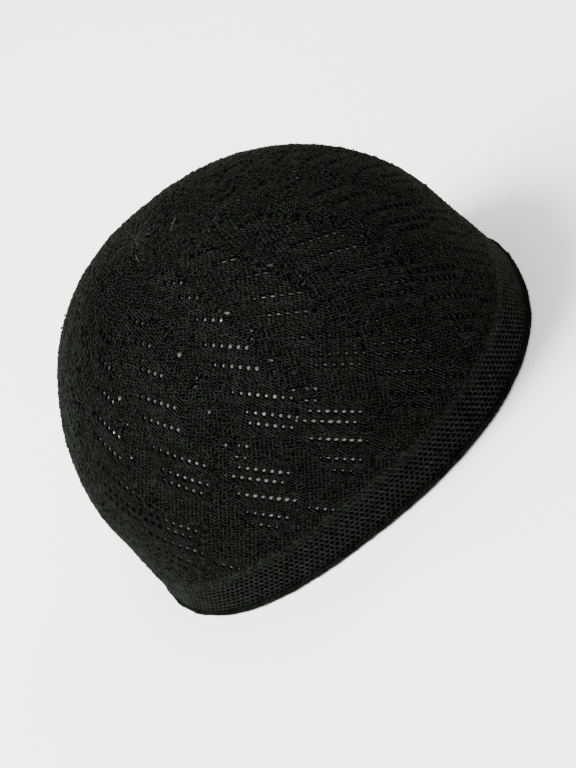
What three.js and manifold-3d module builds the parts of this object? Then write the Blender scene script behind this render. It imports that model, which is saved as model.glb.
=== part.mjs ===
// A knitted kufi: a rounded cap without a brim, hollow, open below and standing on its rolled edge.
// Millimetres, +Z up, +X along the cap's length, the origin under its middle.
import * as THREE from 'three';
import { mergeVertices } from 'three/addons/utils/BufferGeometryUtils.js';
import Module from 'manifold-3d';

const wasm = await Module();
wasm.setup();

// Outside form
const capLength = 190;
const capWidth = 164;
const capHeight = 121;
const wallHeight = 37.5;    // up to here the side stands nearly straight, above it the crown rounds over
const rimFlare = 3.2;       // how far the rim stands out from the top of the straight side
const planFullness = 2.4;   // 2 is a plain ellipse, more is fuller at its four corners
const crownShoulder = 1.86; // how late the side turns in, 1 is a cone
const crownFullness = 2.03; // how round the top is

// Cloth
const crownWall = 1.6;
const bandWall = 2;
const seamGap = 0.3;        // between two pieces that are knitted on to each other
const bandTop = 17.2;       // the band's upper edge, measured up the cloth from the rim
const rollHeight = 2.6;
const rollDepth = 3.6;      // through the rolled edge, from its inside to its outside
const rollStand = 0.9;      // how far the rolled edge stands out from the cloth

// Gathered middle of the crown
const gatherReach = 13;
const gatherDepth = 0.7;

// Knit
const wedges = 15;
const joinShare = 0.018;    // the wider plain strip where the last wedge meets the first, of the full turn
const firstWedge = -0.0065; // where the first motif starts, of the full turn from the middle of the near side
const courseSlope = 49;     // degrees between a row of eyelets and the rim
const eyeletPitch = 3.14;
const eyeletWidth = 1.2;
const cutDepth = 9;         // of the tool that cuts a row, across the wall

// Facets
const turnsPerWedge = 4;
const crownLevels = 10;     // below the gathered middle
const gatherLevels = 2;

// The eyelet rows of one wedge: each falls to the right from its first eyelet. "up" is a share of the
// cloth's length from the rim to the middle of the crown, "along" a share of the wedge's width, less than 0
// in the group that lies low on the near side of the wedge.
const eyeletRows = [
  { up: 0.660, along: 0.301, eyelets: 4 },
  { up: 0.598, along: 0.239, eyelets: 5 },
  { up: 0.536, along: 0.184, eyelets: 5 },
  { up: 0.486, along: 0.055, eyelets: 8 },
  { up: 0.430, along: 0.026, eyelets: 7 },
  { up: 0.336, along: -0.574, eyelets: 8 },
  { up: 0.285, along: -0.627, eyelets: 8 },
];

// The rolled edge's section: "out" is a share of half its depth, "up" a share of its height.
const rollSection = [
  { out: -0.55, up: 0 },
  { out: 0.55, up: 0 },
  { out: 1, up: 0.35 },
  { out: 0.85, up: 0.8 },
  { out: 0.35, up: 1 },
  { out: -0.35, up: 1 },
  { out: -0.85, up: 0.8 },
  { out: -1, up: 0.35 },
];

// The cap's plan at the rim, as the cloth's outside: a full oval that starts at the middle of the near side.
class HeadOval extends THREE.Curve {
  getPoint(t, target = new THREE.Vector3()) {
    const angle = 2 * Math.PI * (t - 0.25);
    const halfLength = capLength / 2 - rollStand;
    const halfWidth = capWidth / 2 - rollStand;
    const across = Math.abs(Math.cos(angle) / halfLength) ** planFullness;
    const deep = Math.abs(Math.sin(angle) / halfWidth) ** planFullness;
    const radius = (across + deep) ** (-1 / planFullness);
    return target.set(radius * Math.cos(angle), radius * Math.sin(angle), 0);
  }
}

const oval = new HeadOval();
oval.arcLengthDivisions = 960;
const meanRadius = oval.getLength() / (2 * Math.PI);

// The cap's profile from the rim to the middle of the crown, on a round cap of the same rim length.
class CapProfile extends THREE.Curve {
  getPoint(t, target = new THREE.Vector3()) {
    const height = capHeight * (1 - (1 - t) ** 2);
    const rise = Math.max(0, (height - wallHeight) / (capHeight - wallHeight));
    const rounded = Math.max(0, 1 - rise ** crownShoulder) ** (1 / crownFullness);
    const flare = rimFlare / (capLength / 2) * Math.min(1, height / wallHeight);
    return target.set(meanRadius * rounded * (1 - flare), 0, height);
  }
}

const profile = new CapProfile();
profile.arcLengthDivisions = 960;
const clothLength = profile.getLength();

// A point on the cloth's outside: "turn" is a share of the way round, "up" a length up the cloth.
function clothPoint(turn, up) {
  const share = THREE.MathUtils.clamp(up / clothLength, 0, 1);
  const level = profile.getPointAt(share);
  const around = oval.getPointAt(THREE.MathUtils.euclideanModulo(turn, 1));
  const fromMiddle = clothLength - up;
  const near = Math.max(0, 1 - fromMiddle / gatherReach);
  const ridge = Math.min(1, fromMiddle / (0.25 * gatherReach)) * Math.cos(2 * Math.PI * wedges * turn);
  const pucker = gatherDepth * near * (0.5 * ridge - near);
  around.multiplyScalar(level.x / meanRadius);
  return around.setZ(level.z + pucker);
}

function clothTangents(turn, up) {
  const step = 0.5;
  const low = Math.min(up, clothLength - 4 * step);
  const turnStep = step / (2 * Math.PI * meanRadius);
  const round = clothPoint(turn + turnStep, low).sub(clothPoint(turn - turnStep, low)).normalize();
  const upward = clothPoint(turn, low + step).sub(clothPoint(turn, low - step)).normalize();
  return { round, upward, outward: new THREE.Vector3().crossVectors(round, upward).normalize() };
}

// A point on the cloth's inside, one wall straight in from the outside.
function insidePoint(turn, up, wall) {
  const isMiddle = up >= clothLength;
  const outward = isMiddle ? new THREE.Vector3(0, 0, 1) : clothTangents(turn, up).outward;
  return clothPoint(turn, up).addScaledVector(outward, -wall);
}

// A closed ring or dome: a lathe gives the grid, and "place" puts each of its points on the cap.
function latheOnCap(levels, place) {
  const segments = wedges * turnsPerWedge;
  const column = levels.map((level, index) => new THREE.Vector2(1, index));
  const grid = new THREE.LatheGeometry(column, segments);
  const { position, uv } = grid.attributes;
  for (let index = 0; index < position.count; index += 1) {
    const level = levels[Math.round(uv.getY(index) * (levels.length - 1))];
    const point = place(uv.getX(index), level);
    position.setXYZ(index, point.x, point.y, point.z);
  }
  return grid;
}

// Merges the shared points, drops the triangles that closed up at the middle and makes a solid.
function solidFrom(geometry) {
  geometry.deleteAttribute('normal');
  geometry.deleteAttribute('uv');
  const merged = mergeVertices(geometry, 1e-3);
  const corners = merged.index.array;
  const triangles = [];
  for (let index = 0; index < corners.length; index += 3) {
    const [a, b, c] = corners.slice(index, index + 3);
    if (a !== b && b !== c && c !== a) {
      triangles.push(a, b, c);
    }
  }
  const mesh = new wasm.Mesh({
    numProp: 3,
    vertProperties: new Float32Array(merged.attributes.position.array),
    triVerts: new Uint32Array(triangles),
  });
  return new wasm.Manifold(mesh);
}

function geometryFrom(solid) {
  const mesh = solid.getMesh();
  const geometry = new THREE.BufferGeometry();
  geometry.setAttribute('position', new THREE.BufferAttribute(new Float32Array(mesh.vertProperties), 3));
  geometry.setIndex(new THREE.BufferAttribute(new Uint32Array(mesh.triVerts), 1));
  geometry.computeVertexNormals();
  return geometry;
}

// Lengths up the cloth in equal steps, both ends among them.
function lengthsBetween(low, high, count) {
  return Array.from({ length: count + 1 }, (unused, index) => low + (high - low) * index / count);
}

// A wall of cloth through these lengths up the cap. One that reaches the middle of the crown closes there.
function wallSolid(lengths, wall) {
  const outside = lengths.map((up) => ({ up, inside: false }));
  const inside = lengths.map((up) => ({ up, inside: true })).reverse();
  const isOpenAbove = lengths.at(-1) < clothLength;
  const levels = isOpenAbove ? [...outside, ...inside, outside[0]] : [...inside, ...outside];
  const grid = latheOnCap(levels, (turn, level) => (
    level.inside ? insidePoint(turn, level.up, wall) : clothPoint(turn, level.up)
  ));
  return solidFrom(grid);
}

// The slot that stands for a row of eyelets, from its first to its last, cut straight through the wall.
function eyeletSlot(wedge, row) {
  const wedgeShare = (1 - joinShare) / wedges;
  const slope = THREE.MathUtils.degToRad(courseSlope);
  const rowLength = (row.eyelets - 1) * eyeletPitch;
  const middleUp = row.up * clothLength - Math.sin(slope) * rowLength / 2;
  const ringLength = 2 * Math.PI * profile.getPointAt(middleUp / clothLength).x;
  const middleTurn = firstWedge + wedgeShare * (wedge + row.along) + Math.cos(slope) * rowLength / 2 / ringLength;
  const { round, upward, outward } = clothTangents(middleTurn, middleUp);
  const along = round.multiplyScalar(Math.cos(slope)).addScaledVector(upward, -Math.sin(slope)).normalize();
  const across = new THREE.Vector3().crossVectors(outward, along);
  const frame = new THREE.Matrix4().makeBasis(along, across, outward);
  frame.setPosition(clothPoint(middleTurn, middleUp).addScaledVector(outward, -crownWall / 2));
  const box = new THREE.BoxGeometry(rowLength + eyeletWidth, eyeletWidth, cutDepth);
  return solidFrom(box.applyMatrix4(frame));
}

function crownGeometry() {
  const gatherStart = clothLength - gatherReach;
  const below = lengthsBetween(bandTop + seamGap, gatherStart, crownLevels);
  const gathered = lengthsBetween(gatherStart, clothLength, gatherLevels).slice(1);
  let crown = wallSolid([...below, ...gathered], crownWall);
  for (let wedge = 0; wedge < wedges; wedge += 1) {
    for (const row of eyeletRows) {
      crown = crown.subtract(eyeletSlot(wedge, row));
    }
  }
  return geometryFrom(crown);
}

function bandGeometry() {
  return geometryFrom(wallSolid([rollHeight + seamGap, bandTop], bandWall));
}

// The rolled edge: a soft round section on a flat foot, carried round the rim.
function edgeRollGeometry() {
  const levels = [...rollSection, rollSection[0]];
  const sectionMiddle = rollStand - rollDepth / 2;
  const grid = latheOnCap(levels, (turn, level) => {
    const tangent = oval.getTangentAt(THREE.MathUtils.euclideanModulo(turn, 1));
    const outward = new THREE.Vector3(tangent.y, -tangent.x, 0);
    const rim = oval.getPointAt(THREE.MathUtils.euclideanModulo(turn, 1));
    const out = sectionMiddle + level.out * rollDepth / 2;
    return rim.addScaledVector(outward, out).setZ(level.up * rollHeight);
  });
  return geometryFrom(solidFrom(grid));
}

const yarnColour = 0x141414;
const clothFinish = { color: yarnColour, roughness: 0.95, metalness: 0 };

function subPart(name, geometry, finish) {
  const mesh = new THREE.Mesh(geometry, new THREE.MeshStandardMaterial(finish));
  mesh.name = name;
  return mesh;
}

const kufi = new THREE.Group();
kufi.name = 'kufi';
kufi.add(subPart('crown', crownGeometry(), clothFinish));
kufi.add(subPart('band', bandGeometry(), clothFinish));
kufi.add(subPart('edge_roll', edgeRollGeometry(), clothFinish));

export default kufi;
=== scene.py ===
"""A black knitted kufi, dressed stitch by stitch round its solid frame, on a plain pale floor."""
import math

import bmesh
import bpy
import numpy as np
from bpy.props import FloatProperty, FloatVectorProperty, IntProperty
from mathutils import Matrix, Quaternion, Vector


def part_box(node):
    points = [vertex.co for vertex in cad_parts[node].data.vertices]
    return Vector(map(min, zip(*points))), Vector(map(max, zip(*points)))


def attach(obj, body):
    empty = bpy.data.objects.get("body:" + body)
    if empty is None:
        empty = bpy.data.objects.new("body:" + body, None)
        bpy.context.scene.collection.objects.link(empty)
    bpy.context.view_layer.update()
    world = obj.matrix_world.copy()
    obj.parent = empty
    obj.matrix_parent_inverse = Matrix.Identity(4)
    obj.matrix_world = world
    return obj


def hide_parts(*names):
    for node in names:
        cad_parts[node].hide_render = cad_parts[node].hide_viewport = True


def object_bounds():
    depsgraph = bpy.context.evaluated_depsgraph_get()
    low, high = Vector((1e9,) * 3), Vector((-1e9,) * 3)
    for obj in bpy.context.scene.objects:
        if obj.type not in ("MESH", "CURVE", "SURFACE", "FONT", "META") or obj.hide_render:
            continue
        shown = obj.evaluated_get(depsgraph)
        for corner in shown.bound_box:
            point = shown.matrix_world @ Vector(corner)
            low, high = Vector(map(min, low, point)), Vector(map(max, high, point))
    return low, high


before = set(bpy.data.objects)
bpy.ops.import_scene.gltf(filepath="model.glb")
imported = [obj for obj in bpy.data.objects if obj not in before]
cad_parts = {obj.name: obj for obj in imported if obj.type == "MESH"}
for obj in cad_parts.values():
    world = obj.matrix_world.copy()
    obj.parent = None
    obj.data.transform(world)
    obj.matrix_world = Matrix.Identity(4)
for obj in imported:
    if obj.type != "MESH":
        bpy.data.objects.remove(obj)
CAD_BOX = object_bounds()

bl_info = {
    "name": "Knitted Kufi",
    "version": (1, 0, 0),
    "blender": (4, 5, 0),
    "location": "View3D > Sidebar > Kufi",
    "description": "Knits a kufi from its sizes: pierced crown, mesh band and rolled edge",
    "category": "Mesh",
}

MILLIMETRE = 0.001
SEED = 7

# The eyelet rows of one wedge, each falling to the right from its first eyelet. "up" is a share of the cloth's
# length from the rim to the middle of the crown, "along" a share of the wedge's width from its ladder's foot, and
# "size" the eyelets' width beside the usual one.
EYELET_ROWS = (
    {"up": 0.790, "along": 0.36, "eyelets": 3, "size": 0.90},
    {"up": 0.727, "along": 0.40, "eyelets": 3, "size": 0.95},
    {"up": 0.663, "along": 0.32, "eyelets": 4, "size": 0.95},
    {"up": 0.606, "along": 0.19, "eyelets": 6, "size": 1.00},
    {"up": 0.547, "along": 0.13, "eyelets": 6, "size": 0.98},
    {"up": 0.482, "along": 0.08, "eyelets": 8, "size": 0.88},
    {"up": 0.427, "along": 0.04, "eyelets": 7, "size": 0.92},
    {"up": 0.400, "along": 0.01, "eyelets": 6, "size": 0.98},
    {"up": 0.333, "along": -0.41, "eyelets": 7, "size": 1.12},
    {"up": 0.339, "along": -0.58, "eyelets": 8, "size": 1.12},
    {"up": 0.290, "along": -0.63, "eyelets": 8, "size": 1.28},
    {"up": 0.234, "along": -0.69, "eyelets": 6, "size": 1.00},
    {"up": 0.206, "along": -0.75, "eyelets": 4, "size": 0.75},
    {"up": 0.158, "along": -0.17, "eyelets": 4, "size": 0.95},
)

# The single eyelets beside the ladder of one wedge, in the same shares.
SINGLE_EYELETS = (
    {"up": 0.622, "along": -0.224, "size": 1.45},
    {"up": 0.560, "along": -0.210, "size": 0.70},
    {"up": 0.543, "along": -0.287, "size": 0.60},
    {"up": 0.477, "along": -0.294, "size": 1.05},
    {"up": 0.399, "along": -0.397, "size": 0.80},
    {"up": 0.375, "along": -0.270, "size": 0.85},
    {"up": 0.362, "along": -0.217, "size": 0.90},
    {"up": 0.362, "along": -0.364, "size": 0.75},
    {"up": 0.347, "along": -0.300, "size": 0.70},
)

# Where a wedge begins on its near side, as a share of its width from its ladder's foot, at each height.
WEDGE_EDGE = (
    {"up": 0.0, "along": -0.80},
    {"up": 0.23, "along": -0.76},
    {"up": 0.33, "along": -0.62},
    {"up": 0.37, "along": -0.46},
    {"up": 0.45, "along": -0.42},
    {"up": 0.50, "along": -0.33},
    {"up": 1.0, "along": -0.31},
)

# How far the knit of the last wedges sits lower than in the others, as a share of the cloth's length.
SAGGING_WEDGES = 3
WEDGE_SAG = (
    {"up": 0.48, "sag": 0.000},
    {"up": 0.55, "sag": 0.005},
    {"up": 0.61, "sag": 0.011},
    {"up": 0.66, "sag": 0.015},
    {"up": 0.73, "sag": 0.018},
    {"up": 0.79, "sag": 0.018},
    {"up": 0.95, "sag": 0.000},
)


def length(label, text, millimetres):
    """A size in the panel, given here in millimetres"""
    return FloatProperty(
        name=label, description=text, default=millimetres * MILLIMETRE, min=0.0, unit="LENGTH", subtype="DISTANCE"
    )


def share(label, text, default):
    """A plain number in the panel"""
    return FloatProperty(name=label, description=text, default=default)


def colour(label, text, default):
    """A colour in the panel"""
    return FloatVectorProperty(name=label, description=text, default=default, size=3, subtype="COLOR", min=0, max=1)


# The wedges whose eyelets are drawn flat along their rows, and how tall those are beside round ones below and above
# the change, which is at a share of the cloth's length.
FLAT_EYELETS = {1: {"below": 0.8, "above": 0.55}, 2: {"below": 0.4, "above": 0.65}, 3: {"below": 0.4, "above": 0.8}}
FLAT_CHANGE = 0.45


# Pale hairs caught in the knit beside the middle of the crown.
PALE_HAIRS = (
    ({"turn": 0.193, "up": 0.892}, {"turn": 0.165, "up": 0.892}, {"turn": 0.136, "up": 0.890}),
    ({"turn": -0.026, "up": 0.933}, {"turn": -0.022, "up": 0.919}, {"turn": -0.019, "up": 0.903}),
)


class KufiForm(bpy.types.PropertyGroup):
    """The cap's outside form, as its solids have it"""

    cap_height: length("Height", "From the surface to the top of the crown", 121)
    wall_height: length("Straight side", "Up to here the side stands nearly straight", 37.5)
    rim_flare: length("Rim flare", "How far the rim stands out from the top of the straight side", 3.2)
    plan_fullness: share("Plan fullness", "2 is a plain ellipse, more is fuller at its corners", 2.4)
    crown_shoulder: share("Crown shoulder", "How late the side turns in", 1.86)
    crown_fullness: share("Crown fullness", "How round the top is", 2.03)
    band_top: length("Band top", "The band's upper edge, up the cloth from the rim", 17.2)
    roll_stand: length("Roll stand", "How far the rolled edge stands out from the cloth", 0.9)
    roll_depth: length("Roll depth", "Through the rolled edge, from inside to outside", 3.6)
    gather_reach: length("Gather reach", "How far the gathers run out from the middle of the crown", 13)
    gather_depth: length("Gather depth", "How deep the gathers are", 0.7)


class KufiKnit(bpy.types.PropertyGroup):
    """The knit's own sizes"""

    wedges: IntProperty(name="Wedges", description="Wedges round the crown", default=15, min=3)
    join_share: share("Join", "The plain strip between the last wedge and the first, of the full turn", 0.018)
    first_wedge: share("First wedge", "Where the first ladder's foot is, of the full turn", -0.0065)
    course_slope: FloatProperty(
        name="Course slope",
        description="Angle between a row of stitches and the rim",
        default=math.radians(50.5),
        subtype="ANGLE",
    )
    straight_grain: share("Straight grain", "Where in the wedge the stitches stand square to its height", 0.8)
    middle_shift: length("Middle shift", "From the top of the crown back to the middle of the knit", 2.7)
    wale: length("Wale", "From one stitch to the next along a row", 1.49)
    course: length("Course", "From one row of stitches to the next", 1.25)
    net_wale: length("Net wale", "Between two columns of the open net", 1.55)
    net_course: length("Net course", "Between two rows of the open net", 1.34)
    net_tilt: FloatProperty(
        name="Net tilt", description="Angle between the net's rows and the ladders'", default=math.radians(11.6),
        subtype="ANGLE",
    )
    ridge_tilt: FloatProperty(
        name="Ridge tilt", description="Angle between a ridge and its row", default=math.radians(21), subtype="ANGLE"
    )
    strand_width: length("Strand width", "Across one strand of a stitch", 0.58)
    strand_thickness: length("Strand thickness", "Through one strand of a stitch", 0.6)
    eyelet_width: length("Eyelet width", "Across one eyelet of the usual size", 1.42)
    hem_top: length("Hem top", "Where the slanting rows begin, up the cloth from the rim", 18.8)
    ladder_reach: length("Ladder reach", "How far the close stitches run on each side of an eyelet row", 4.6)
    mesh_pitch: length("Mesh pitch", "From one hole of the band to the next along the rim", 2.5)
    mesh_row: length("Mesh row", "From one row of the band's holes to the next", 1.70)
    float_lean: FloatProperty(
        name="Float lean", description="Angle between the strands over the band's mesh and the rim",
        default=math.radians(53), subtype="ANGLE",
    )
    backing_depth: length("Backing depth", "From the face of the stitches to the cloth behind them", 0.55)
    backing_wall: length("Backing wall", "Through the cloth behind the stitches", 0.7)


class KufiYarn(bpy.types.PropertyGroup):
    """The yarn's colours and hairs"""

    dark: colour("Dark yarn", "The yarn where it is darkest", (0.0013, 0.0017, 0.0013))
    light: colour("Light yarn", "The yarn where it is lightest", (0.0122, 0.0136, 0.0117))
    # The deep colour is painted shade: it is darker than the yarn itself and stands for the shade between and under the
    # stitches on the backings and the roll.
    deep: colour("Deep yarn", "The cloth seen between the stitches", (0.0010, 0.0011, 0.0010))
    hairs: IntProperty(name="Hairs", description="Loose fibre ends that stand off the knit", default=4500, min=0)
    lint: IntProperty(name="Lint", description="Pale specks of lint on the crown", default=60, min=0)


class KufiStage(bpy.types.PropertyGroup):
    """The floor, the lights and the camera"""

    azimuth: FloatProperty(name="Azimuth", description="Round the cap", default=math.radians(15.645), subtype="ANGLE")
    elevation: FloatProperty(name="Elevation", description="Above the floor", default=math.radians(29.446), subtype="ANGLE")
    roll: FloatProperty(name="Roll", description="Of the camera", default=math.radians(-46.568), subtype="ANGLE")
    distance: FloatProperty(name="Distance", description="From the cap", default=1.158, unit="LENGTH")
    target_right: FloatProperty(name="Target right", description="Aim past the middle", default=0.0144, unit="LENGTH")
    target_up: FloatProperty(name="Target up", description="Aim past the middle", default=-0.0174, unit="LENGTH")
    lens: FloatProperty(name="Lens", description="Focal length in millimetres", default=138.7)
    floor_colour: colour("Floor", "The floor's colour", (0.93, 0.93, 0.93))


class CapForm:
    """The cap's outside as a formula: a turn is a share of the way round, up a length up the cloth from the rim"""

    def __init__(self):
        form = bpy.context.scene.kufi_form
        knit = bpy.context.scene.kufi_knit
        low, high = CAD_BOX
        self.form, self.wedges = form, knit.wedges
        half_length = (high.x - low.x) / 2 - form.roll_stand
        half_width = (high.y - low.y) / 2 - form.roll_stand
        angle = 2 * np.pi * (np.linspace(0, 1, 2881) - 0.25)
        across = np.abs(np.cos(angle) / half_length) ** form.plan_fullness
        deep = np.abs(np.sin(angle) / half_width) ** form.plan_fullness
        radius = (across + deep) ** (-1 / form.plan_fullness)
        self.plan = np.stack([radius * np.cos(angle), radius * np.sin(angle)], -1)
        self.plan_share, rim_length = self.measured(self.plan)
        self.plan_way = np.unwrap(np.arctan2(self.plan[:, 1], self.plan[:, 0]))
        self.middle_shift = knit.middle_shift
        self.mean_radius = rim_length / (2 * np.pi)
        step = np.linspace(0, 1, 2001)
        height = form.cap_height * (1 - (1 - step) ** 2)
        rise = np.clip((height - form.wall_height) / (form.cap_height - form.wall_height), 0, 1)
        rounded = (1 - rise**form.crown_shoulder) ** (1 / form.crown_fullness)
        flare = form.rim_flare * 2 / (high.x - low.x) * np.clip(height / form.wall_height, 0, 1)
        self.level = np.stack([rounded * (1 - flare), height], -1)
        scaled = self.level * np.array([self.mean_radius, 1])
        self.level_share, self.cloth_length = self.measured(scaled)

    @staticmethod
    def measured(line):
        """Each point's share of the line's length, and that length"""
        run = np.concatenate([[0], np.cumsum(np.linalg.norm(np.diff(line, axis=0), axis=1))])
        return run / run[-1], run[-1]

    def narrowing(self, up):
        """The cap's width at this length up the cloth, as a share of its width at the rim"""
        return np.interp(up / self.cloth_length, self.level_share, self.level[:, 0])

    def ring_length(self, up):
        """The way round the cap at this length up the cloth"""
        return 2 * np.pi * self.mean_radius * self.narrowing(up)

    def eased(self, turn, up):
        """Where a place of the knit lies on the cap: the knit's middle is a little behind the crown's top"""
        from_middle = self.cloth_length - up
        way = np.interp(np.mod(turn, 1), self.plan_share, self.plan_way)
        shift = self.middle_shift * np.clip(up / self.cloth_length, 0, 1) ** 2
        x = from_middle * np.cos(way) - shift
        y = from_middle * np.sin(way)
        way = np.mod(np.arctan2(y, x) - self.plan_way[0], 2 * np.pi) + self.plan_way[0]
        return np.interp(way, self.plan_way, self.plan_share), self.cloth_length - np.hypot(x, y)

    def face(self, turn, up):
        """Points on the face of the cloth"""
        turn, up = np.broadcast_arrays(np.asarray(turn, float), np.asarray(up, float))
        from_middle = self.cloth_length - up
        around, eased_up = self.eased(turn, up)
        narrow = self.narrowing(eased_up)
        height = np.interp(eased_up / self.cloth_length, self.level_share, self.level[:, 1])
        near = np.clip(1 - from_middle / self.form.gather_reach, 0, 1)
        ridge = np.clip(from_middle / (0.25 * self.form.gather_reach), 0, 1) * np.cos(2 * np.pi * self.wedges * turn)
        pucker = self.form.gather_depth * near * (0.5 * ridge - near)
        x = np.interp(around, self.plan_share, self.plan[:, 0]) * narrow
        y = np.interp(around, self.plan_share, self.plan[:, 1]) * narrow
        return np.stack([x, y, height + pucker], -1)

    def frames(self, turn, up):
        """Places on the face of the cloth with their directions round the cap, up the cloth and out of it"""
        step = 0.4 * MILLIMETRE
        low = np.minimum(up, self.cloth_length - 3 * step)
        turn_step = step / np.maximum(self.ring_length(low), 20 * step)
        around = self.face(turn + turn_step, low) - self.face(turn - turn_step, low)
        upward = self.face(turn, low + step) - self.face(turn, low - step)
        around /= np.linalg.norm(around, axis=-1, keepdims=True)
        upward /= np.linalg.norm(upward, axis=-1, keepdims=True)
        outward = np.cross(around, upward)
        outward /= np.linalg.norm(outward, axis=-1, keepdims=True)
        upward = np.cross(outward, around)
        return self.face(turn, up), around, upward, outward


def crown_wedge(form, knit, wedge):
    """Where one wedge's flat knit lies: its ladder's foot as a turn, and its width as a share of the turn"""
    width = (1 - knit.join_share) / knit.wedges
    return knit.first_wedge + wedge * width, width


class FlatKnit:
    """One wedge of the crown laid flat: close ladders on a slanting grid of stitches, with open net between them"""

    def __init__(self, form, knit, wedge):
        self.form, self.knit, self.wedge = form, knit, wedge
        self.foot, self.width = crown_wedge(form, knit, wedge)
        self.is_last = wedge == knit.wedges - 1
        self.row_way, self.column_way = self.ways(knit.course_slope)
        self.rng = np.random.default_rng(SEED + 10 + wedge)
        self.eyelets, self.runs = self.opened()

    @staticmethod
    def ways(slope):
        """The directions along a row and up a column, in the flat knit"""
        return np.array([math.cos(slope), -math.sin(slope)]), np.array([math.sin(slope), math.cos(slope)])

    def flat(self, along, up):
        """From shares of the wedge's width and lengths up the cloth to the flat knit"""
        across = (along - self.knit.straight_grain) * self.width * self.form.ring_length(up)
        return np.stack([across, up + 0 * along], -1)

    def inside(self, place):
        """Keeps the flat places that lie in the wedge"""
        edges = [row["along"] for row in WEDGE_EDGE]
        heights = [row["up"] * self.form.cloth_length for row in WEDGE_EDGE]
        low = self.knit.hem_top - 1.1 * self.knit.course
        up = np.clip(place[:, 1], low, self.form.cloth_length - 0.5 * self.knit.course)
        along = self.knit.straight_grain + place[:, 0] / (self.width * self.form.ring_length(up))
        edge = np.interp(up, heights, edges)
        wide = 1 + (self.knit.join_share / self.width if self.is_last else 0)
        return place[(place[:, 1] == up) & (along >= edge) & (along < edge + wide)]

    @staticmethod
    def stagger(column):
        """Every other column of the ladders stands half a stitch higher"""
        return 0.5 * (column % 2)

    def grid(self, wale, course, slope, staggered):
        """The flat places of a grid of stitches over the wedge"""
        row_way, column_way = self.ways(slope)
        reach = int(1.5 * self.form.cloth_length / min(wale, course))
        column, row = map(np.ravel, np.meshgrid(np.arange(-reach, reach), np.arange(-reach, reach)))
        row = row + staggered * self.stagger(column)
        return self.inside((column * wale)[:, None] * row_way + (row * course)[:, None] * column_way)

    def cells(self, place):
        """The columns and rows of the ladder stitches nearest to flat places"""
        column = np.round(place @ self.row_way / self.knit.wale).astype(int)
        row = np.round(place @ self.column_way / self.knit.course - self.stagger(column)).astype(int)
        return column, row

    def cell(self, along, up):
        """The column and row of the ladder stitch nearest to a place given in shares"""
        column, row = self.cells(self.flat(np.array([along]), np.array([up * self.form.cloth_length])))
        return int(column[0]), int(row[0])

    def opened(self):
        """The size of the eyelet at each column and row, and the run of each row of eyelets"""
        eyelets, runs = {}, []
        for row in EYELET_ROWS:
            column, line = self.cell(row["along"], row["up"])
            last = column + 2 * (row["eyelets"] - 1)
            for step in range(column, last + 1, 2):
                end = 1.08 if row["up"] > 0.5 else 0.8
                grown = np.interp((step - column) / (last - column), (0, 0.25, 0.8, 1), (0.68, 0.95, 1.05, end))
                eyelets[step, line] = row["size"] * grown * self.rng.normal(1, 0.06)
            runs.append((column, last, line))
        for single in SINGLE_EYELETS:
            eyelets[self.cell(single["along"], single["up"])] = single["size"]
        return eyelets, runs

    def is_close(self, column, row, overlap=0.0):
        """Whether stitches stand in the close knit round a row of eyelets, less an overlap in rows"""
        close = np.zeros(len(column), bool)
        side = self.knit.ladder_reach / self.knit.course - overlap
        for first, last, line in self.runs:
            close |= (np.abs(row - line) < side) & (column >= first - 2) & (column <= last + 2)
        return close

    def on_cap(self, place):
        """From the flat knit to turns and lengths up the cloth"""
        up = np.clip(place[:, 1], 0, self.form.cloth_length - 0.5 * self.knit.course)
        turn = self.foot + self.knit.straight_grain * self.width + place[:, 0] / self.form.ring_length(up)
        if self.wedge >= self.knit.wedges - SAGGING_WEDGES:
            share_up = [row["up"] for row in WEDGE_SAG]
            up = up - self.form.cloth_length * np.interp(
                up / self.form.cloth_length, share_up, [row["sag"] for row in WEDGE_SAG]
            )
        return turn, up

    def eyelet_places(self):
        """The turn, length up the cloth, width and height of every eyelet"""
        cells = np.array(list(self.eyelets), float)
        size = np.array(list(self.eyelets.values()))
        high = (cells[:, 1] + self.stagger(cells[:, 0])) * self.knit.course
        place = (cells[:, 0] * self.knit.wale)[:, None] * self.row_way + high[:, None] * self.column_way
        turn, up = self.on_cap(place)
        tall = 1.12 * np.ones(len(size))
        if self.wedge in FLAT_EYELETS:
            flat = FLAT_EYELETS[self.wedge]
            change = (FLAT_CHANGE - 0.05, FLAT_CHANGE + 0.05)
            tall = np.interp(up / self.form.cloth_length, change, (flat["below"], flat["above"]))
        return turn, up, size / np.sqrt(np.maximum(tall, 0.55)), size * tall

    def ladder_stitches(self):
        """The turn and length up the cloth of every close stitch, pushed aside by the eyelet below or above it"""
        place = self.grid(self.knit.wale, self.knit.course, self.knit.course_slope, True)
        column, row = self.cells(place)
        cells = list(zip(column.tolist(), row.tolist()))
        kept = self.is_close(column, row) & np.array([cell not in self.eyelets for cell in cells])
        push = np.array([((c, r - 1) in self.eyelets) * 1.0 - ((c, r + 1) in self.eyelets) for c, r in cells])
        place = place + (push * 0.32 * self.knit.course)[:, None] * self.column_way
        return self.on_cap(place[kept])

    def drawn_threads(self):
        """The turn and length up the cloth of the threads drawn tight beside the first eyelets of the upper rows"""
        places = []
        for column, _, line in self.runs:
            for step in np.arange(0.8, 4.2, 0.6):
                across, high = (column - step) * self.knit.wale, (line + self.stagger(column)) * self.knit.course
                place = across * self.row_way + high * self.column_way
                if place[1] > 0.45 * self.form.cloth_length:
                    places.append(place)
        return self.on_cap(np.array(places))

    def net_stitches(self):
        """The turn and length up the cloth of every stitch of the open net between the ladders"""
        knit = self.knit
        place = self.grid(knit.net_wale, knit.net_course, knit.course_slope - knit.net_tilt, False)
        column, row = self.cells(place)
        kept = ~self.is_close(column, row, overlap=0.7)
        kept &= np.array([cell not in self.eyelets for cell in zip(column.tolist(), row.tolist())])
        return self.on_cap(place[kept])


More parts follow.
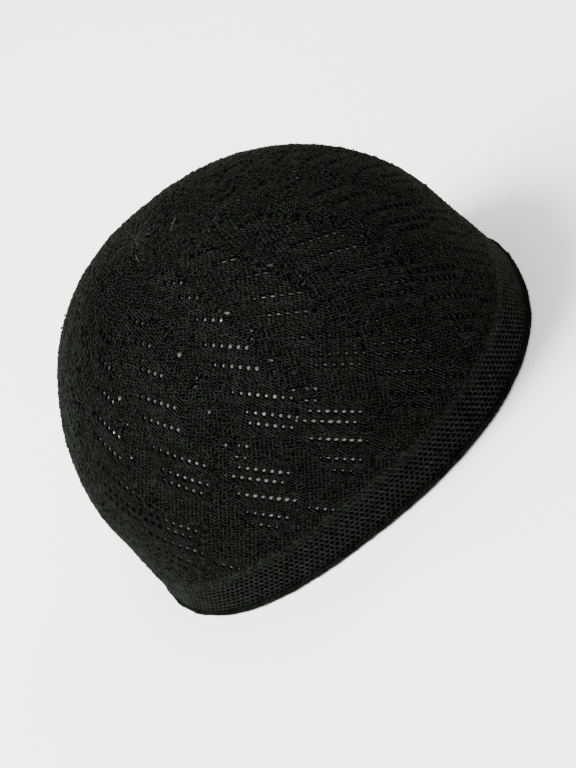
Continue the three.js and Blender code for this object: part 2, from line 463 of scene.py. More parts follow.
def lozenge():
    """One leg of a stitch: a slim body of eight faces, one unit across, long and thick"""
    shape = bmesh.new()
    bmesh.ops.create_uvsphere(shape, u_segments=4, v_segments=2, radius=0.5)
    bmesh.ops.rotate(shape, verts=shape.verts, matrix=Matrix.Rotation(math.radians(90), 3, "X"))
    return shape


def ring(sides, section_sides, radius, yarn_radius):
    """One loop of the band's mesh: a flat ring of yarn, spun from its section"""
    shape = bmesh.new()
    made = bmesh.ops.create_circle(
        shape, segments=section_sides, radius=yarn_radius, matrix=Matrix.Translation((radius, 0, 0)) @ Matrix.Rotation(math.radians(90), 4, "X")
    )
    edges = list({edge for vert in made["verts"] for edge in vert.link_edges})
    bmesh.ops.spin(
        shape, geom=made["verts"] + edges, cent=(0, 0, 0), axis=(0, 0, 1), angle=math.tau, steps=sides, use_merge=True
    )
    bmesh.ops.remove_doubles(shape, verts=shape.verts, dist=yarn_radius * 0.05)
    bmesh.ops.recalc_face_normals(shape, faces=shape.faces)
    return shape


def template_arrays(shape):
    """A small shape's corners and triangles, ready to be repeated"""
    bmesh.ops.triangulate(shape, faces=shape.faces)
    shape.verts.index_update()
    corners = np.array([vert.co[:] for vert in shape.verts])
    triangles = np.array([[vert.index for vert in face.verts] for face in shape.faces])
    shape.free()
    return corners, triangles


def joined_copies(name, shape, places, x_ways, y_ways, z_ways, tones):
    """One mesh of many copies of a small shape, each with its own place, directions and tone"""
    corners, triangles = template_arrays(shape)
    count = len(places)
    points = (
        places[:, None]
        + corners[None, :, 0:1] * x_ways[:, None]
        + corners[None, :, 1:2] * y_ways[:, None]
        + corners[None, :, 2:3] * z_ways[:, None]
    ).reshape(-1, 3)
    loops = (triangles[None] + (np.arange(count) * len(corners))[:, None, None]).reshape(-1)
    mesh = bpy.data.meshes.new(name)
    mesh.vertices.add(len(points))
    mesh.vertices.foreach_set("co", points.astype(np.float32).ravel())
    mesh.loops.add(len(loops))
    mesh.loops.foreach_set("vertex_index", loops.astype(np.int32))
    faces = len(loops) // 3
    mesh.polygons.add(faces)
    mesh.polygons.foreach_set("loop_start", np.arange(0, 3 * faces, 3, dtype=np.int32))
    mesh.polygons.foreach_set("use_smooth", np.ones(faces, bool))
    tone = mesh.attributes.new("tone", "FLOAT", "POINT")
    tone.data.foreach_set("value", np.repeat(tones, len(corners)).astype(np.float32))
    mesh.update()
    mesh.validate()
    return mesh


def add_piece(name, mesh, material, nodes):
    """A finished piece: it rides on the cap and stands for its solid"""
    piece = bpy.data.objects.new(name, mesh)
    bpy.context.collection.objects.link(piece)
    mesh.materials.clear()
    mesh.materials.append(material)
    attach(piece, "root")
    if nodes:
        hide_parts(*nodes)
    return piece


def apply_modifiers(piece):
    """Makes a piece's modifiers part of its mesh"""
    graph = bpy.context.evaluated_depsgraph_get()
    mesh = bpy.data.meshes.new_from_object(piece.evaluated_get(graph), depsgraph=graph)
    old = piece.data
    piece.modifiers.clear()
    piece.data = mesh
    bpy.data.meshes.remove(old)


def yarn_material(name, dark, light, shine, fibre_scale, fibre_height):
    """Matt black yarn: its tone changes from stitch to stitch and in soft patches, and its fibres stand up"""
    material = bpy.data.materials.new(name)
    material.use_nodes = True
    nodes, links = material.node_tree.nodes, material.node_tree.links
    shader = nodes["Principled BSDF"]
    shader.inputs["Roughness"].default_value = 0.82
    shader.inputs["Specular IOR Level"].default_value = 2 * shine
    shader.inputs["Sheen Weight"].default_value = shine
    shader.inputs["Sheen Roughness"].default_value = 0.45
    shader.inputs["Sheen Tint"].default_value = (1.0, 0.94, 0.88, 1)
    place = nodes.new("ShaderNodeTexCoord")
    patches = nodes.new("ShaderNodeTexNoise")
    patches.inputs["Scale"].default_value = 300
    patches.inputs["Detail"].default_value = 3
    links.new(place.outputs["Object"], patches.inputs["Vector"])
    tone = nodes.new("ShaderNodeAttribute")
    tone.attribute_name = "tone"
    both = nodes.new("ShaderNodeMath")
    both.operation = "MULTIPLY_ADD"
    both.inputs[1].default_value = 0.7
    links.new(tone.outputs["Fac"], both.inputs[0])
    half = nodes.new("ShaderNodeMath")
    half.operation = "MULTIPLY_ADD"
    half.inputs[1].default_value = 1.3
    half.inputs[2].default_value = -0.43
    links.new(patches.outputs["Fac"], half.inputs[0])
    links.new(half.outputs["Value"], both.inputs[2])
    ramp = nodes.new("ShaderNodeValToRGB")
    ramp.color_ramp.elements[0].color = (*dark, 1)
    ramp.color_ramp.elements[1].color = (*light, 1)
    links.new(both.outputs["Value"], ramp.inputs["Fac"])
    links.new(ramp.outputs["Color"], shader.inputs["Base Color"])
    fibres = nodes.new("ShaderNodeTexNoise")
    fibres.inputs["Scale"].default_value = fibre_scale
    fibres.inputs["Detail"].default_value = 2
    links.new(place.outputs["Object"], fibres.inputs["Vector"])
    bump = nodes.new("ShaderNodeBump")
    bump.inputs["Strength"].default_value = 0.6
    bump.inputs["Distance"].default_value = fibre_height
    links.new(fibres.outputs["Fac"], bump.inputs["Height"])
    links.new(bump.outputs["Normal"], shader.inputs["Normal"])
    return material


def plain_material(name, base, roughness):
    """A plain matt finish with a faint unevenness"""
    material = bpy.data.materials.new(name)
    material.use_nodes = True
    nodes, links = material.node_tree.nodes, material.node_tree.links
    shader = nodes["Principled BSDF"]
    shader.inputs["Base Color"].default_value = (*base, 1)
    shader.inputs["Specular IOR Level"].default_value = 0.1
    place = nodes.new("ShaderNodeTexCoord")
    noise = nodes.new("ShaderNodeTexNoise")
    noise.inputs["Scale"].default_value = 40
    links.new(place.outputs["Object"], noise.inputs["Vector"])
    spread = nodes.new("ShaderNodeMapRange")
    spread.inputs["To Min"].default_value = roughness - 0.05
    spread.inputs["To Max"].default_value = roughness + 0.05
    links.new(noise.outputs["Fac"], spread.inputs["Value"])
    links.new(spread.outputs["Result"], shader.inputs["Roughness"])
    return material


def cloth_sheet(form, low, high, turns, levels, depth, wall):
    """A closed wall of cloth under the face, from a flat slab wrapped round the cap"""
    shape = bmesh.new()
    bmesh.ops.create_grid(shape, x_segments=turns, y_segments=levels, size=0.5)
    bmesh.ops.solidify(shape, geom=shape.faces[:], thickness=1)
    reaches_middle = high > form.cloth_length - 0.01 * MILLIMETRE
    touching = []
    for face in shape.faces:
        middle = face.calc_center_median()
        if abs(middle.x) > 0.4999 or (reaches_middle and middle.y > 0.4999):
            touching.append(face)
    bmesh.ops.delete(shape, geom=touching, context="FACES")
    corners = np.array([vert.co[:] for vert in shape.verts])
    turn, up = corners[:, 0] + 0.5, low + (corners[:, 1] + 0.5) * (high - low)
    layer = (np.abs(corners[:, 2]) > 0.5).astype(float)
    place, around, upward, outward = form.frames(turn, up)
    outward[up > form.cloth_length - 0.01 * MILLIMETRE] = (0, 0, 1)
    place = place - outward * (depth + layer * wall)[:, None]
    for vert, point in zip(shape.verts, place):
        vert.co = point
    bmesh.ops.remove_doubles(shape, verts=shape.verts, dist=0.01 * MILLIMETRE)
    bmesh.ops.recalc_face_normals(shape, faces=shape.faces)
    for face in shape.faces:
        face.smooth = True
    return shape


def eyelet_cutters(form, knit):
    """The tools that pierce the crown's backing, one at each eyelet"""
    eyelets = [FlatKnit(form, knit, wedge).eyelet_places() for wedge in range(knit.wedges)]
    turn, up, wide, tall = map(np.concatenate, zip(*eyelets))
    place, around, upward, outward = form.frames(turn, up)
    row_way = around * math.cos(knit.course_slope) - upward * math.sin(knit.course_slope)
    column_way = np.cross(outward, row_way)
    shape = bmesh.new()
    bmesh.ops.create_cone(shape, cap_ends=True, segments=8, radius1=0.5, radius2=0.5, depth=1)
    wide, tall = (knit.eyelet_width * size[:, None] for size in (wide, tall))
    depth = 3 * (knit.backing_depth + knit.backing_wall)
    tones = np.zeros(len(place))
    return joined_copies("eyelet_cutters", shape, place, row_way * wide, column_way * tall, outward * depth, tones)


class KUFI_OT_crown_backing(bpy.types.Operator):
    """Makes the crown's cloth behind its stitches, pierced at every eyelet; its near-black deep colour is painted shade
    between the stitches
    """

    bl_idname = "kufi.crown_backing"
    bl_label = "Crown Backing"

    def execute(self, context):
        scene = context.scene
        form, knit, yarn = CapForm(), scene.kufi_knit, scene.kufi_yarn
        shape = cloth_sheet(
            form, scene.kufi_form.band_top, form.cloth_length, 180, 60, knit.backing_depth, knit.backing_wall
        )
        mesh = bpy.data.meshes.new("crown_backing")
        shape.to_mesh(mesh)
        shape.free()
        # Painted shade: the backing's deep colour makes the cloth seen between the stitches look shadowed.
        material = yarn_material("crown_backing", yarn.deep, yarn.deep, 0.0, 2400, 0.0002)
        piece = add_piece("crown_backing", mesh, material, ["crown"])
        plain_faces = len(mesh.polygons)
        cutters = bpy.data.objects.new("eyelet_cutters", eyelet_cutters(form, knit))
        context.collection.objects.link(cutters)
        pierce = piece.modifiers.new("Eyelets", "BOOLEAN")
        pierce.operation = "DIFFERENCE"
        pierce.solver = "MANIFOLD"
        pierce.object = cutters
        apply_modifiers(piece)
        bpy.data.objects.remove(cutters)
        if len(piece.data.polygons) <= plain_faces:
            raise RuntimeError("the crown's backing was not pierced")
        return {"FINISHED"}


def laid_strands(place, row_way, column_way, outward, tilt, long, wide, thick, sunk):
    """Short strands laid on the cloth at a tilt from the row, each sunk by its own depth"""
    along = row_way * np.cos(tilt)[:, None] + column_way * np.sin(tilt)[:, None]
    across = np.cross(along, outward)
    centre = place - outward * sunk[:, None]
    return centre, across * wide[:, None], along * long[:, None], outward * thick[:, None]


def knit_ways(form, turn, up, slope):
    """Places on the cap with the directions along a row, up a column and out of the cloth"""
    place, around, upward, outward = form.frames(turn, up)
    row_way = around * math.cos(slope) - upward * math.sin(slope)
    return place, row_way, np.cross(outward, row_way), outward


def close_strands(form, knit, turn, up, slope, rng):
    """Close knit: slanting ridges that run on from stitch to stitch, tied by legs sunk between them"""
    place, row_way, column_way, outward = knit_ways(form, turn, up, slope)
    count = len(place)

    def varied(value, spread):
        return value * (1 + rng.normal(0, spread, count))

    ridge = laid_strands(
        place + column_way * rng.normal(0, 0.04 * knit.course, (count, 1)),
        row_way,
        column_way,
        outward,
        -knit.ridge_tilt + rng.normal(0, 0.08, count),
        varied(1.9 * knit.wale, 0.08),
        varied(knit.strand_width, 0.1),
        varied(knit.strand_thickness, 0.1),
        varied(0.42 * knit.strand_thickness, 0.2),
    )
    leg = laid_strands(
        place - column_way * 0.5 * knit.course,
        row_way,
        column_way,
        outward,
        np.radians(72) + rng.normal(0, 0.12, count),
        varied(1.1 * knit.course, 0.08),
        varied(0.7 * knit.strand_width, 0.15),
        varied(0.8 * knit.strand_thickness, 0.1),
        varied(knit.strand_thickness, 0.15),
    )
    return [np.concatenate(parts) for parts in zip(ridge, leg)]


def drawn_strands(form, knit, turn, up, rng):
    """Straight threads that stand up along a row"""
    place, row_way, column_way, outward = knit_ways(form, turn, up, knit.course_slope)
    count = len(place)
    return laid_strands(
        place,
        row_way,
        column_way,
        outward,
        rng.normal(0, 0.04, count),
        np.full(count, 1.3 * knit.wale),
        np.full(count, 0.8 * knit.strand_width),
        np.full(count, knit.strand_thickness),
        np.full(count, 0.1 * knit.strand_thickness),
    )


def net_strands(form, knit, turn, up, slope, rng):
    """Open net: a bar along the row and a bar up the column at every stitch, with a small dark hole between bars"""
    place, row_way, column_way, outward = knit_ways(form, turn, up, slope)
    count = len(place)
    loose = 1 + 2.5 * np.clip(1 - (form.cloth_length - up) / (2 * form.form.gather_reach), 0, 1)

    def varied(value, spread):
        return value * (1 + rng.normal(0, spread, count))

    place = place + row_way * (loose * rng.normal(0, 0.05 * knit.net_wale, count))[:, None]
    bar = laid_strands(
        place + column_way * (loose * rng.normal(0, 0.09 * knit.net_course, count))[:, None],
        row_way,
        column_way,
        outward,
        loose * rng.normal(0, 0.12, count),
        varied(1.3 * knit.net_wale, 0.12),
        varied(knit.strand_width, 0.12),
        varied(1.15 * knit.strand_thickness, 0.2),
        varied(0.45 * knit.strand_thickness, 0.8),
    )
    post = laid_strands(
        place + row_way * 0.5 * knit.net_wale + column_way * 0.5 * knit.net_course,
        row_way,
        column_way,
        outward,
        np.radians(84) + loose * rng.normal(0, 0.12, count),
        varied(1.15 * knit.net_course, 0.12),
        varied(1.25 * knit.strand_width, 0.15),
        varied(knit.strand_thickness, 0.2),
        varied(0.55 * knit.strand_thickness, 0.7),
    )
    return [np.concatenate(parts) for parts in zip(bar, post)]


class KUFI_OT_crown_stitches(bpy.types.Operator):
    """Knits the crown's stitches, wedge by wedge, and leaves its eyelets open"""

    bl_idname = "kufi.crown_stitches"
    bl_label = "Crown Stitches"

    def execute(self, context):
        scene = context.scene
        form, knit, yarn = CapForm(), scene.kufi_knit, scene.kufi_yarn
        rng = np.random.default_rng(SEED)
        material = yarn_material("crown_yarn", yarn.dark, yarn.light, 0.015, 5200, 0.0001)
        share_of_wedges = 4
        for first in range(0, knit.wedges, share_of_wedges):
            wedges = [
                FlatKnit(form, knit, wedge) for wedge in range(first, min(first + share_of_wedges, knit.wedges))
            ]
            turn, up = map(np.concatenate, zip(*(wedge.ladder_stitches() for wedge in wedges)))
            close = close_strands(form, knit, turn, up, knit.course_slope, rng)
            turn, up = map(np.concatenate, zip(*(wedge.net_stitches() for wedge in wedges)))
            net = net_strands(form, knit, turn, up, knit.course_slope - knit.net_tilt, rng)
            turn, up = map(np.concatenate, zip(*(wedge.drawn_threads() for wedge in wedges)))
            drawn = drawn_strands(form, knit, turn, up, rng)
            strands = [np.concatenate(parts) for parts in zip(close, net, drawn)]
            name = f"crown_stitches_{first // share_of_wedges + 1}"
            mesh = joined_copies(name, lozenge(), *strands, rng.uniform(0, 1, len(strands[0])))
            add_piece(name, mesh, material, ["crown"])
        return {"FINISHED"}


class KUFI_OT_crown_gathers(bpy.types.Operator):
    """Draws the knit together in short ridges that run out from the middle of the crown"""

    bl_idname = "kufi.crown_gathers"
    bl_label = "Crown Gathers"

    def execute(self, context):
        scene = context.scene
        form, knit, yarn = CapForm(), scene.kufi_knit, scene.kufi_yarn
        rng = np.random.default_rng(SEED + 5)
        ridges, steps = 2 * knit.wedges, 6
        ridge, step = (grid.ravel() for grid in np.meshgrid(np.arange(ridges), np.arange(steps)))
        count = len(ridge)
        reach = (0.45 + 0.55 * rng.uniform(0, 1, ridges))[ridge] * form.form.gather_reach
        turn = (ridge + 0.3 * rng.normal(0, 1, ridges)[ridge]) / ridges
        up = form.cloth_length - 1.9 * MILLIMETRE - reach * step / steps
        place, around, upward, outward = form.frames(turn, up)
        strands = laid_strands(
            place,
            around,
            upward,
            outward,
            math.pi / 2 + rng.normal(0, 0.15, count),
            reach / steps * 2.1,
            0.8 * knit.strand_width * (1 + rng.normal(0, 0.15, count)),
            0.8 * knit.strand_thickness * (1 + rng.normal(0, 0.15, count)),
            np.full(count, 0.05 * knit.strand_thickness),
        )
        # Painted highlight: the gathered ridges' yarn is lighter than the rest of the knit, as if catching the light.
        material = yarn_material("gathered_yarn_painted_highlight", 0.4 * yarn.light, yarn.light, 0.015, 5200, 0.0001)
        mesh = joined_copies("crown_gathers", lozenge(), *strands, rng.uniform(0, 1, ridges)[ridge])
        add_piece("crown_gathers", mesh, material, [])
        return {"FINISHED"}


class KUFI_OT_hem(bpy.types.Operator):
    """Knits the plain rows that join the crown to the band"""

    bl_idname = "kufi.hem"
    bl_label = "Hem Rows"

    def execute(self, context):
        scene = context.scene
        form, knit, yarn = CapForm(), scene.kufi_knit, scene.kufi_yarn
        rng = np.random.default_rng(SEED + 1)
        columns = round(float(form.ring_length(knit.hem_top)) / knit.wale)
        rows = np.arange(scene.kufi_form.band_top - knit.course, knit.hem_top + 0.5 * knit.course, knit.course)
        turn, up = (grid.ravel() for grid in np.meshgrid(np.arange(columns) / columns, rows))
        strands = net_strands(form, knit, turn, up, 0.0, rng)
        material = yarn_material("hem_yarn", yarn.dark, yarn.light, 0.015, 5200, 0.0001)
        mesh = joined_copies("hem_rows", lozenge(), *strands, rng.uniform(0, 1, len(strands[0])))
        add_piece("hem_rows", mesh, material, ["crown"])
        return {"FINISHED"}


class KUFI_OT_band(bpy.types.Operator):
    """Makes the band: loops of yarn in staggered rows over its backing, whose deep colour is painted shade"""

    bl_idname = "kufi.band"
    bl_label = "Mesh Band"

    def execute(self, context):
        scene = context.scene
        form, knit, yarn = CapForm(), scene.kufi_knit, scene.kufi_yarn
        rng = np.random.default_rng(SEED + 2)
        low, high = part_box("edge_roll")[1].z, scene.kufi_form.band_top
        shape = cloth_sheet(form, low - 0.0008, high + 0.0012, 240, 6, knit.backing_depth + 0.0003, knit.backing_wall)
        mesh = bpy.data.meshes.new("band_backing")
        shape.to_mesh(mesh)
        shape.free()
        # Painted shade: the band's backing takes the deep colour, so the gaps between the loops look shadowed.
        backing = yarn_material("band_backing", yarn.deep, yarn.deep, 0.0, 2400, 0.0002)
        add_piece("band_backing", mesh, backing, ["band"])
        columns = round(float(form.ring_length(0.0)) / knit.mesh_pitch)
        # The loops begin a little above the roll, so a strip of the deep-coloured backing shows there: painted shade at
        # the foot of the band.
        rows = np.arange(low + 0.75 * knit.mesh_row, high + 0.4 * knit.mesh_row, knit.mesh_row)
        column, row = (grid.ravel() for grid in np.meshgrid(np.arange(columns), np.arange(len(rows))))
        turn = (column + 0.5 * (row % 2) + rng.normal(0, 0.03, len(column))) / columns
        up = rows[row] + rng.normal(0, 0.03 * knit.mesh_row, len(row))
        place, around, upward, outward = form.frames(turn, up)
        material = yarn_material("band_yarn", yarn.dark, yarn.light, 0.015, 5200, 0.0001)
        count = len(place)
        mesh = joined_copies(
            "band_mesh",
            ring(8, 3, 0.5, 0.15),
            place - outward * 0.14 * knit.mesh_row,
            around * knit.mesh_pitch * 1.02,
            upward * knit.mesh_row * 1.15,
            outward * 1.5 * MILLIMETRE,
            rng.uniform(0, 1, count),
        )
        add_piece("band_mesh", mesh, material, ["band"])
        lean = np.full(count, -knit.float_lean) + rng.normal(0, 0.12, count)
        floats = laid_strands(
            place + around * 0.25 * knit.mesh_pitch + upward * 0.5 * knit.mesh_row,
            around,
            upward,
            outward,
            lean,
            0.95 * knit.mesh_pitch * (1 + rng.normal(0, 0.1, count)),
            0.44 * knit.mesh_pitch * (1 + rng.normal(0, 0.12, count)),
            0.8 * MILLIMETRE * (1 + rng.normal(0, 0.1, count)),
            0.12 * MILLIMETRE * (1 + rng.normal(0, 0.8, count)),
        )
        mesh = joined_copies("band_floats", lozenge(), *floats, rng.uniform(0, 1, count))
        add_piece("band_floats", mesh, material, ["band"])
        return {"FINISHED"}


class KUFI_OT_edge_roll(bpy.types.Operator):
    """Makes the rolled edge: a soft core with short stitches over it, both painted darker than the other yarn as
    painted shade
    """

    bl_idname = "kufi.edge_roll"
    bl_label = "Rolled Edge"

    def execute(self, context):
        scene = context.scene
        form, knit, yarn = CapForm(), scene.kufi_knit, scene.kufi_yarn
        rng = np.random.default_rng(SEED + 3)
        low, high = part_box("edge_roll")
        depth, height = scene.kufi_form.roll_depth, high.z - low.z
        middle = scene.kufi_form.roll_stand - depth / 2
        around_count = 260
        shape = bmesh.new()
        bmesh.ops.create_grid(shape, x_segments=around_count, y_segments=12, size=0.5)
        shares = np.array([vert.co[:2] for vert in shape.verts]) + 0.5
        place, way = self.roll_place(form, shares[:, 0], 2 * np.pi * shares[:, 1], middle, 0.42 * depth, 0.42 * height, height)
        for vert, point in zip(shape.verts, place):
            vert.co = point
        bmesh.ops.remove_doubles(shape, verts=shape.verts, dist=0.02 * MILLIMETRE)
        bmesh.ops.recalc_face_normals(shape, faces=shape.faces)
        for face in shape.faces:
            face.smooth = True
        mesh = bpy.data.meshes.new("edge_core")
        shape.to_mesh(mesh)
        shape.free()
        # Painted shade: the core takes the deep colour, shadowed between the roll's stitches.
        core = yarn_material("edge_core", yarn.deep, yarn.deep, 0.0, 2400, 0.0002)
        add_piece("edge_core", mesh, core, ["edge_roll"])
        columns = round(float(form.ring_length(0.0)) / 1.3 / MILLIMETRE)
        angles = np.radians(np.arange(-60, 211, 45))
        column, step = (grid.ravel() for grid in np.meshgrid(np.arange(columns), np.arange(len(angles))))
        turn = (column + 0.5 * (step % 2)) / columns
        angle = angles[step] + rng.normal(0, 0.05, len(step))
        lumps = np.interp(turn, np.linspace(0, 1, 130), rng.uniform(0.82, 1.25, 130))
        out_radius = 0.42 * depth * lumps * rng.uniform(0.93, 1.07, len(turn))
        up_radius = np.full(len(turn), 0.34 * height)
        place, way = self.roll_place(form, turn, angle, middle, out_radius, up_radius, height)
        ahead, _ = self.roll_place(form, turn, angle + 0.05, middle, out_radius, up_radius, height)
        along = ahead - place
        along /= np.linalg.norm(along, axis=-1, keepdims=True)
        across = np.cross(along, way)
        tones = rng.uniform(0, 1, len(place))
        thick = rng.uniform(0.7, 1.25, len(place))[:, None] * MILLIMETRE
        mesh = joined_copies(
            "edge_stitches", lozenge(), place, across * thick, along * 2.1 * MILLIMETRE, way * thick, tones
        )
        # Painted shade: the roll's stitches run from the deep colour to a dimmer light yarn, darker than the rest of
        # the cap.
        material = yarn_material("edge_yarn", yarn.deep, 0.85 * yarn.light, 0.005, 5200, 0.0001)
        add_piece("edge_stitches", mesh, material, ["edge_roll"])
        return {"FINISHED"}

    @staticmethod
    def roll_place(form, turn, angle, middle, out_radius, up_radius, height):
        """Points round the roll's section, and the way out of it"""
        place, around, upward, outward = form.frames(turn, np.full(len(turn), 0.001))
        flat_out = outward * np.array([1, 1, 0])
        flat_out /= np.linalg.norm(flat_out, axis=-1, keepdims=True)
        rim = form.face(turn, np.zeros(len(turn)))
        out = flat_out * (middle + out_radius * np.cos(angle))[:, None]
        point = rim + out
        point[:, 2] = height / 2 + up_radius * np.sin(angle)
        way = flat_out * np.cos(angle)[:, None]
        way[:, 2] = np.sin(angle)
        return point, way


def hair_mesh(form, name, spots):
    """One thin hair laid over the knit through a few spots"""
    bends = np.linspace(0, 1, 9)
    known = np.linspace(0, 1, len(spots))
    turn = np.interp(bends, known, [spot["turn"] for spot in spots])
    up = np.interp(bends, known, [spot["up"] for spot in spots]) * form.cloth_length
    place, _, _, outward = form.frames(turn, up)
    place = place + outward * (0.2 + 0.5 * np.sin(np.pi * bends))[:, None] * MILLIMETRE
    along, outward = np.diff(place, axis=0), outward[1:]
    across = np.cross(along, outward)
    across /= np.linalg.norm(across, axis=-1, keepdims=True)
    middle = (place[1:] + place[:-1]) / 2
    thin = 0.13 * MILLIMETRE
    return joined_copies(name, lozenge(), middle, across * thin, along * 1.6, outward * thin, np.ones(len(middle)))


class KUFI_OT_fuzz(bpy.types.Operator):
    """Adds the loose fibre ends that stand off the knit, tinted with a painted sheen, and a few pale specks of lint"""

    bl_idname = "kufi.fuzz"
    bl_label = "Fuzz and Lint"

    def execute(self, context):
        scene = context.scene
        form, yarn = CapForm(), scene.kufi_yarn
        rng = np.random.default_rng(SEED + 4)
        up = form.cloth_length * (1 - np.sqrt(rng.uniform(0, 1, yarn.hairs)) * 0.97)
        turn = rng.uniform(0, 1, yarn.hairs)
        place, around, upward, outward = form.frames(turn, up)
        spin = rng.uniform(0, math.tau, yarn.hairs)[:, None]
        lift = rng.uniform(0.15, 0.9, yarn.hairs)[:, None]
        along = (around * np.cos(spin) + upward * np.sin(spin)) * np.cos(lift) + outward * np.sin(lift)
        across = np.cross(along, outward)
        across /= np.linalg.norm(across, axis=-1, keepdims=True)
        through = np.cross(across, along)
        long = rng.uniform(0.7, 2.3, yarn.hairs)[:, None] * MILLIMETRE
        thin = 0.045 * MILLIMETRE
        mesh = joined_copies(
            "fuzz", lozenge(), place + along * long * 0.45, across * thin, along * long, through * thin, np.ones(yarn.hairs)
        )
        # The fibre ends are real, but their pale warm brown, much lighter than the black yarn, is painted sheen: the
        # lit fuzz along the outline.
        material = plain_material("fuzz", (0.055, 0.042, 0.032), 0.8)
        add_piece("fuzz", mesh, material, [])
        self.add_lint(form, yarn, rng)
        return {"FINISHED"}

    @staticmethod
    def add_lint(form, yarn, rng):
        """Pale specks and short hairs, thickest round the top"""
        up = form.cloth_length * (1 - 0.85 * rng.uniform(0, 1, yarn.lint) ** 1.5)
        turn = rng.uniform(0, 1, yarn.lint)
        place, around, upward, outward = form.frames(turn, up)
        spin = rng.uniform(0, math.tau, yarn.lint)[:, None]
        along = around * np.cos(spin) + upward * np.sin(spin)
        across = np.cross(along, outward)
        long = (0.3 + 1.3 * rng.uniform(0, 1, yarn.lint) ** 3)[:, None] * MILLIMETRE
        thin = 0.15 * MILLIMETRE
        mesh = joined_copies(
            "lint", lozenge(), place + outward * 0.0001, across * thin, along * long, outward * thin, np.ones(yarn.lint)
        )
        material = plain_material("lint", (0.20, 0.20, 0.18), 0.9)
        add_piece("lint", mesh, material, [])
        for number, spots in enumerate(PALE_HAIRS):
            name = f"pale_hair_{number + 1}"
            add_piece(name, hair_mesh(form, name, spots), material, [])


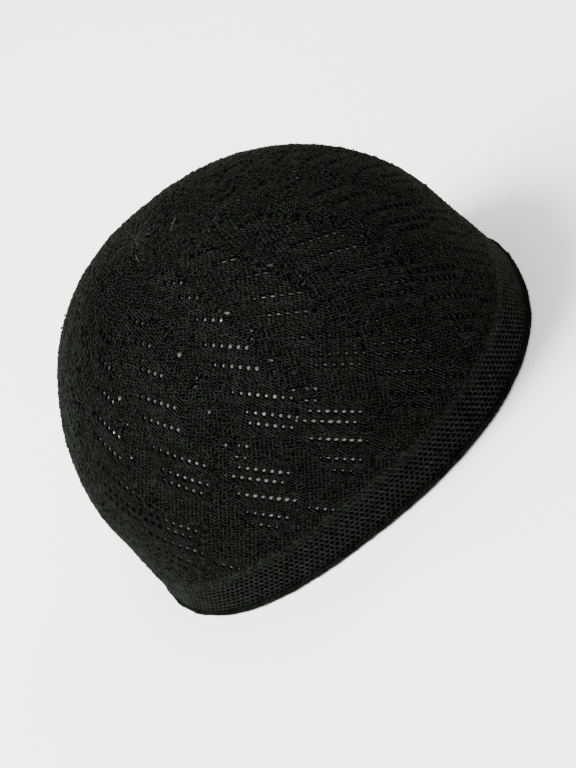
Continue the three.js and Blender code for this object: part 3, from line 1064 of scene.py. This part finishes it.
class KUFI_OT_stage(bpy.types.Operator):
    """Sets the pale floor, the soft lights and the camera"""

    bl_idname = "kufi.stage"
    bl_label = "Stage"

    def execute(self, context):
        scene = context.scene
        stage = scene.kufi_stage
        shape = bmesh.new()
        bmesh.ops.create_grid(shape, x_segments=1, y_segments=1, size=8)
        mesh = bpy.data.meshes.new("floor")
        shape.to_mesh(mesh)
        shape.free()
        floor = bpy.data.objects.new("floor", mesh)
        mesh.materials.append(plain_material("floor", stage.floor_colour, 0.7))
        context.collection.objects.link(floor)
        self.add_camera(context, stage)
        self.add_lights(context)
        return {"FINISHED"}

    @staticmethod
    def add_camera(context, stage):
        """The photograph's view: the cap stands on its rim and the camera is turned about its own line of sight"""
        turn, rise, roll = stage.azimuth, stage.elevation, stage.roll
        back = Vector((math.sin(turn) * math.cos(rise), -math.cos(turn) * math.cos(rise), math.sin(rise)))
        level = Vector((math.cos(turn), math.sin(turn), 0))
        above = back.cross(level)
        right = level * math.cos(roll) + above * math.sin(roll)
        up = above * math.cos(roll) - level * math.sin(roll)
        middle = Vector((0, 0, 0.45 * bpy.context.scene.kufi_form.cap_height))
        eye = middle + right * stage.target_right + up * stage.target_up + back * stage.distance
        data = bpy.data.cameras.new("camera")
        data.lens = stage.lens
        data.sensor_width = 36
        camera = bpy.data.objects.new("camera", data)
        camera.matrix_world = Matrix.Translation(eye) @ Matrix((right, up, back)).transposed().to_4x4()
        context.collection.objects.link(camera)
        context.scene.camera = camera

    @staticmethod
    def add_lights(context):
        """Even light from all round, a soft window on the left and a lamp inside that shows the eyelets"""
        world = bpy.data.worlds.new("surroundings")
        world.use_nodes = True
        world.node_tree.nodes["Background"].inputs["Color"].default_value = (1, 1, 1, 1)
        world.node_tree.nodes["Background"].inputs["Strength"].default_value = 1.6
        context.scene.world = world
        lamps = (
            ("key_light", (-1.25, -0.2, 1.7), (1.25, 0.2, -1.64), 0, (1.2, 1.2), 175.0, False),
            ("edge_light", (1.5, 0.9, 0.5), (-1.5, -0.9, -0.44), 0, (0.5, 0.9), 20.0, False),
            ("near_glow", (-0.024, -0.009, 0.058), (0.0, 0.0, 1.0), 0, (0.086, 0.116), 0.0039, True),
            ("wide_glow", (-0.018, 0.004, 0.057), (0.0, 0.0, 1.0), 0, (0.100, 0.134), 0.0030, True),
            ("side_glow", (-0.068, -0.002, 0.056), (0.0, 0.0, 1.0), 0, (0.020, 0.092), 0.0015, True),
            ("far_glow", (0.045, 0.005, 0.058), (0.0, 0.0, 1.0), -26, (0.028, 0.110), 0.0008, True),
            ("top_glow", (0.014, 0.015, 0.088), (0.0, 0.0, 1.0), 0, (0.096, 0.042), 0.0013, True),
            ("limb_glow", (-0.057, 0.023, 0.072), (0.0, 0.0, 1.0), 0, (0.010, 0.022), 0.00009, True),
            ("floor_glow", (-0.038, -0.005, 0.004), (0.0, 0.0, 1.0), 0, (0.104, 0.130), 0.0070, True),
        )
        for name, place, aim, spin, size, power, is_seen in lamps:
            data = bpy.data.lights.new(name, "AREA")
            data.shape = "ELLIPSE"
            data.size, data.size_y = size
            data.energy = power
            lamp = bpy.data.objects.new(name, data)
            lamp.location = place
            lamp.rotation_mode = "QUATERNION"
            turned = Quaternion((0, 0, 1), math.radians(spin))
            lamp.rotation_quaternion = Vector(aim).to_track_quat("-Z", "Y") @ turned
            lamp.visible_camera = is_seen
            context.collection.objects.link(lamp)


class KUFI_PT_sidebar(bpy.types.Panel):
    """Lists the kufi's sizes and its pieces"""

    bl_label = "Knitted Kufi"
    bl_idname = "KUFI_PT_sidebar"
    bl_space_type = "VIEW_3D"
    bl_region_type = "UI"
    bl_category = "Kufi"

    def draw(self, context):
        for group in (context.scene.kufi_form, context.scene.kufi_knit, context.scene.kufi_yarn, context.scene.kufi_stage):
            box = self.layout.box()
            for key in group.__annotations__:
                box.prop(group, key)
        for operator in OPERATORS:
            self.layout.operator(operator.bl_idname)


GROUPS = (KufiForm, KufiKnit, KufiYarn, KufiStage)
OPERATORS = (
    KUFI_OT_crown_backing,
    KUFI_OT_crown_stitches,
    KUFI_OT_crown_gathers,
    KUFI_OT_hem,
    KUFI_OT_band,
    KUFI_OT_edge_roll,
    KUFI_OT_fuzz,
    KUFI_OT_stage,
)


def register():
    for item in (*GROUPS, *OPERATORS, KUFI_PT_sidebar):
        bpy.utils.register_class(item)
    bpy.types.Scene.kufi_form = bpy.props.PointerProperty(type=KufiForm)
    bpy.types.Scene.kufi_knit = bpy.props.PointerProperty(type=KufiKnit)
    bpy.types.Scene.kufi_yarn = bpy.props.PointerProperty(type=KufiYarn)
    bpy.types.Scene.kufi_stage = bpy.props.PointerProperty(type=KufiStage)


def unregister():
    for name in ("kufi_form", "kufi_knit", "kufi_yarn", "kufi_stage"):
        delattr(bpy.types.Scene, name)
    for item in reversed((*GROUPS, *OPERATORS, KUFI_PT_sidebar)):
        bpy.utils.unregister_class(item)


def main():
    register()
    bpy.ops.kufi.crown_backing()
    bpy.ops.kufi.crown_stitches()
    bpy.ops.kufi.crown_gathers()
    bpy.ops.kufi.hem()
    bpy.ops.kufi.band()
    bpy.ops.kufi.edge_roll()
    bpy.ops.kufi.fuzz()
    bpy.ops.kufi.stage()


if __name__ == "__main__":
    main()
